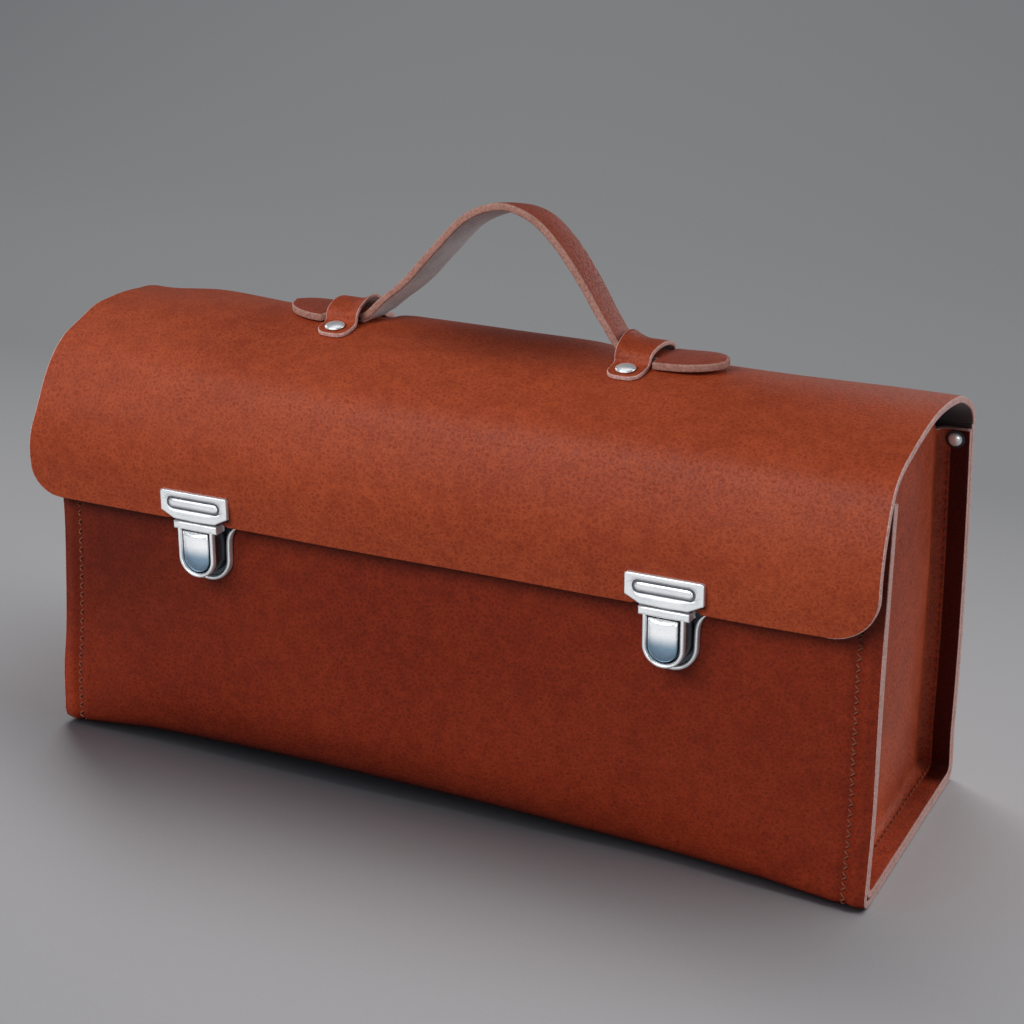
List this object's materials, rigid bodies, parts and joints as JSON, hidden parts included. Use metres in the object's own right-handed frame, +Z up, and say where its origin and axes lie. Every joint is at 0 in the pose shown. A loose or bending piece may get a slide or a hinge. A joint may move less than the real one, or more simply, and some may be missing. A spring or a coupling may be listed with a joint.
{
  "type": "leather tool bag",
  "caption": "Long flap-over leather bag with riveted end gussets, push-button tuck locks on the front and a strap handle that slides in riveted loops.",
  "frame": {"origin": "middle of the bottom, on the surface that the bag stands on", "axes": "+X along the bag, -Y towards the front with the locks, +Z up"},
  "size_m": [0.401, 0.1455, 0.2617],
  "materials": {
    "wrap_leather": "semi-gloss, fine pebble grain",
    "gusset_leather": "semi-gloss, smooth grain",
    "strap_leather": "satin, fine grain",
    "nickel": "bright nickel plate",
    "spring_steel": "dull"
  },
  "bodies": {
    "case": {"body_sheet": "wrap_leather", "gusset_left": "gusset_leather", "gusset_right": "gusset_leather", "gusset_rivet_left": "nickel", "gusset_rivet_right": "nickel", "lock_base_left": "nickel", "lock_base_right": "nickel", "lock_backing_left": "spring_steel", "lock_backing_right": "spring_steel", "lock_case_left": "nickel", "lock_case_right": "nickel", "catch_spring_left": "spring_steel", "catch_spring_right": "spring_steel"},
    "flap": {"flap_sheet": "wrap_leather", "hasp_left": "nickel", "hasp_right": "nickel", "handle_loop_left": "strap_leather", "handle_loop_right": "strap_leather", "loop_rivet_left_front": "nickel", "loop_rivet_left_rear": "nickel", "loop_rivet_right_front": "nickel", "loop_rivet_right_rear": "nickel", "handle_leg_left": "strap_leather", "handle_leg_right": "strap_leather"},
    "handle": {"handle_crown": "strap_leather"},
    "handle_end_left": {"handle_end_left": "strap_leather"},
    "handle_end_right": {"handle_end_right": "strap_leather"},
    "button_left": {"lock_button_left": "nickel"},
    "button_right": {"lock_button_right": "nickel"}
  },
  "joints": [
    {"name": "flap_hinge", "type": "hinge", "parent": "case", "child": "flap", "pos_m": [0, 0.0604, 0.175], "axis": [-1, 0, 0], "range_deg": [0, 170]},
    {"name": "button_left_press", "type": "slide", "parent": "case", "child": "button_left", "axis": [0, 1, 0], "range_m": [0, 0.0015], "stiffness_N_per_m": 800},
    {"name": "button_right_press", "type": "slide", "parent": "case", "child": "button_right", "axis": [0, 1, 0], "range_m": [0, 0.0015], "stiffness_N_per_m": 800},
    {"name": "handle_press", "type": "slide", "parent": "flap", "child": "handle", "axis": [0, 0, -1], "range_m": [0, 0.03], "deforming": ["handle_leg_left", "handle_leg_right"]},
    {"name": "strap_slide_left", "type": "slide", "parent": "flap", "child": "handle_end_left", "axis": [-1, 0, 0], "range_m": [0, 0.012]},
    {"name": "strap_slide_right", "type": "slide", "parent": "flap", "child": "handle_end_right", "axis": [1, 0, 0], "range_m": [0, 0.012]}
  ],
  "couplings": [
    {"joint": "strap_slide_left", "follows": "handle_press", "ratio": 0.4},
    {"joint": "strap_slide_right", "follows": "handle_press", "ratio": 0.4}
  ]
}
